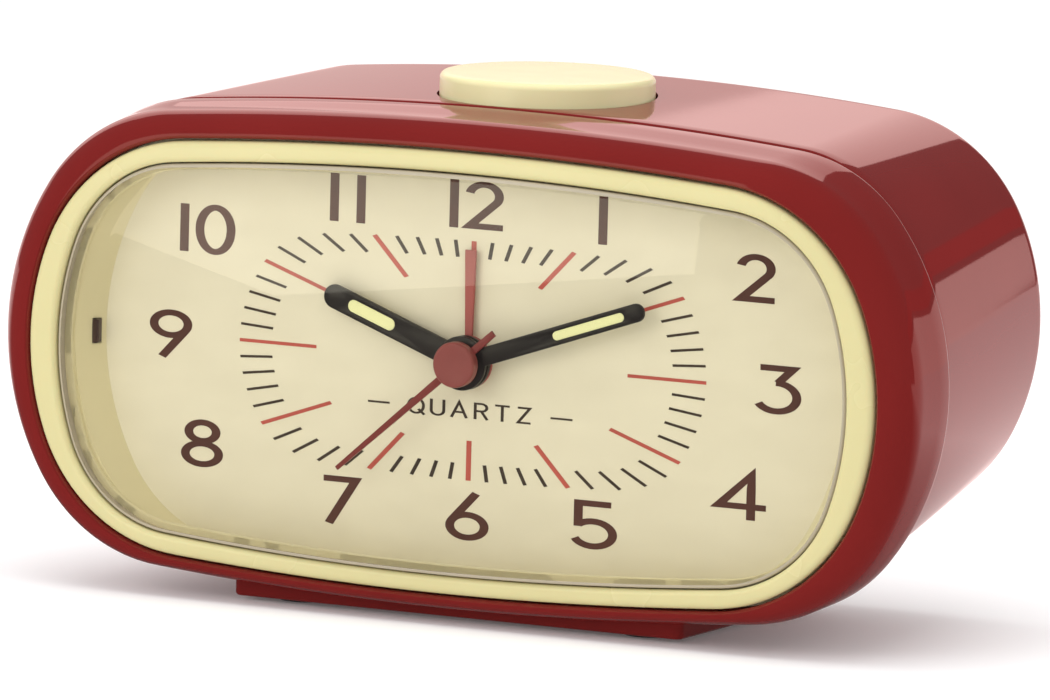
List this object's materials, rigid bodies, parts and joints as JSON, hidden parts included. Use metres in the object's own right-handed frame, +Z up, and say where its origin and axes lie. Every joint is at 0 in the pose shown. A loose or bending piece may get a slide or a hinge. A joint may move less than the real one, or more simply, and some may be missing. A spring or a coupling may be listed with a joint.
{
  "type": "travel alarm clock",
  "caption": "Travel alarm clock with a wide rounded case, oval dial behind a domed lens, round top snooze button, rear setting knobs and battery door",
  "frame": {"origin": "on the table, under the middle of the bounding box", "axes": "+X to the viewer's right along the dial, +Y from the dial to the back, +Z up"},
  "size_m": [0.1429, 0.0604, 0.0748],
  "materials": {
    "red_plastic": "polished maroon moulding",
    "cream_plastic": "polished cream moulding",
    "clear_plastic": "clear polished acrylic",
    "dial_card": "satin printed cream sheet",
    "smoked_lamp": "smoked lamp window",
    "rubber": "soft black rubber",
    "black_plastic": "fine-textured black",
    "white_plastic": "natural acetal",
    "steel": "bright zinc plate",
    "brass": "plain brass strip",
    "copper": "enamelled copper wire",
    "magnet": "bonded magnet",
    "circuit": "solder-masked board",
    "battery_jacket": "printed film jacket",
    "black_paint": "satin black paint",
    "lume": "pale luminous paint",
    "red_paint": "satin dark red paint"
  },
  "bodies": {
    "case": {"alarm_switch": "black_plastic", "battery_cell": "battery_jacket", "battery_tray": "black_plastic", "body_shell": "red_plastic", "bridge_screws": "steel", "button_bridge": "black_plastic", "button_spring": "steel", "buzzer": "black_plastic", "circuit_board": "circuit", "coil": "copper", "contact_minus": "steel", "contact_plus": "brass", "cover_screws": "steel", "dial_lamp": "smoked_lamp", "dial_plate": "dial_card", "dial_screws": "steel", "dial_surround": "cream_plastic", "foot_pads": "rubber", "front_bezel": "red_plastic", "lens": "clear_plastic", "light_switch": "circuit", "movement_bridge": "white_plastic", "movement_front": "white_plastic", "movement_housing": "white_plastic", "movement_middle": "white_plastic", "movement_screws": "steel", "plate_spacers": "steel", "plinth": "red_plastic", "plinth_screws": "steel", "rear_cover": "red_plastic", "stator": "steel", "trim_ring": "cream_plastic"},
    "minute": {"minute_hand": "black_paint", "minute_lume": "lume", "minute_tube": "white_plastic"},
    "hour": {"hour_hand": "black_paint", "hour_lume": "lume", "hour_wheel": "white_plastic"},
    "motion": {"motion_wheel": "white_plastic"},
    "time_setter": {"time_knob": "black_plastic", "time_stem": "white_plastic"},
    "second": {"second_hand": "red_paint", "second_cap": "red_paint", "second_wheel": "white_plastic"},
    "third": {"third_wheel": "white_plastic"},
    "centre": {"centre_wheel": "white_plastic"},
    "fourth": {"fourth_wheel": "white_plastic"},
    "motor_rotor": {"rotor": "magnet"},
    "alarm": {"alarm_hand": "red_paint", "alarm_wheel": "white_plastic"},
    "idler": {"alarm_idler": "white_plastic"},
    "alarm_setter": {"alarm_knob": "black_plastic", "alarm_stem": "white_plastic"},
    "button": {"snooze_button": "cream_plastic", "button_clip": "steel"},
    "slider": {"alarm_slider": "black_plastic"},
    "door": {"battery_door": "red_plastic"}
  },
  "joints": [
    {"name": "minute_turn", "type": "hinge", "parent": "case", "child": "minute", "pos_m": [0, -0.02125, 0.0362], "axis": [0, 1, 0], "continuous": true},
    {"name": "hour_turn", "type": "hinge", "parent": "case", "child": "hour", "pos_m": [0, -0.02125, 0.0362], "axis": [0, 1, 0], "continuous": true},
    {"name": "motion_turn", "type": "hinge", "parent": "case", "child": "motion", "pos_m": [0.00768, -0.02125, 0.04196], "axis": [0, 1, 0], "continuous": true},
    {"name": "time_knob_turn", "type": "hinge", "parent": "case", "child": "time_setter", "pos_m": [0.016, -0.02125, 0.0482], "axis": [0, 1, 0], "continuous": true},
    {"name": "second_turn", "type": "hinge", "parent": "case", "child": "second", "pos_m": [0, -0.02125, 0.0362], "axis": [0, 1, 0], "continuous": true},
    {"name": "third_turn", "type": "hinge", "parent": "case", "child": "third", "pos_m": [0, -0.02125, 0.02872], "axis": [0, 1, 0], "continuous": true},
    {"name": "centre_turn", "type": "hinge", "parent": "case", "child": "centre", "pos_m": [0, -0.02125, 0.0362], "axis": [0, 1, 0], "continuous": true},
    {"name": "fourth_turn", "type": "hinge", "parent": "case", "child": "fourth", "pos_m": [-0.0065, -0.02125, 0.0393], "axis": [0, 1, 0], "continuous": true},
    {"name": "rotor_turn", "type": "hinge", "parent": "case", "child": "motor_rotor", "pos_m": [-0.0107, -0.02125, 0.0393], "axis": [0, 1, 0], "continuous": true},
    {"name": "alarm_turn", "type": "hinge", "parent": "case", "child": "alarm", "pos_m": [0, -0.02125, 0.0362], "axis": [0, 1, 0], "continuous": true},
    {"name": "idler_turn", "type": "hinge", "parent": "case", "child": "idler", "pos_m": [-0.00992, -0.02125, 0.04364], "axis": [0, 1, 0], "continuous": true},
    {"name": "alarm_knob_turn", "type": "hinge", "parent": "case", "child": "alarm_setter", "pos_m": [-0.016, -0.02125, 0.0482], "axis": [0, 1, 0], "continuous": true},
    {"name": "snooze_press", "type": "slide", "parent": "case", "child": "button", "axis": [0, 0, -1], "range_m": [0, 0.0016], "stiffness_N_per_m": 350, "springref_m": -0.003, "deforming": ["button_spring"]},
    {"name": "alarm_slide", "type": "slide", "parent": "case", "child": "slider", "axis": [1, 0, 0], "range_m": [0, 0.0044]},
    {"name": "door_swing", "type": "hinge", "parent": "case", "child": "door", "pos_m": [0, 0.02445, 0.0182], "axis": [-1, 0, 0], "range_deg": [0, 90]}
  ],
  "couplings": [
    {"joint": "hour_turn", "follows": "minute_turn", "ratio": 0.083333},
    {"joint": "motion_turn", "follows": "minute_turn", "ratio": -0.33333},
    {"joint": "time_knob_turn", "follows": "minute_turn", "ratio": 0.75},
    {"joint": "third_turn", "follows": "second_turn", "ratio": -0.13333},
    {"joint": "centre_turn", "follows": "second_turn", "ratio": 0.016667},
    {"joint": "fourth_turn", "follows": "second_turn", "ratio": -5},
    {"joint": "rotor_turn", "follows": "second_turn", "ratio": 30},
    {"joint": "idler_turn", "follows": "alarm_turn", "ratio": -1.8182},
    {"joint": "alarm_knob_turn", "follows": "alarm_turn", "ratio": 2.5}
  ]
}
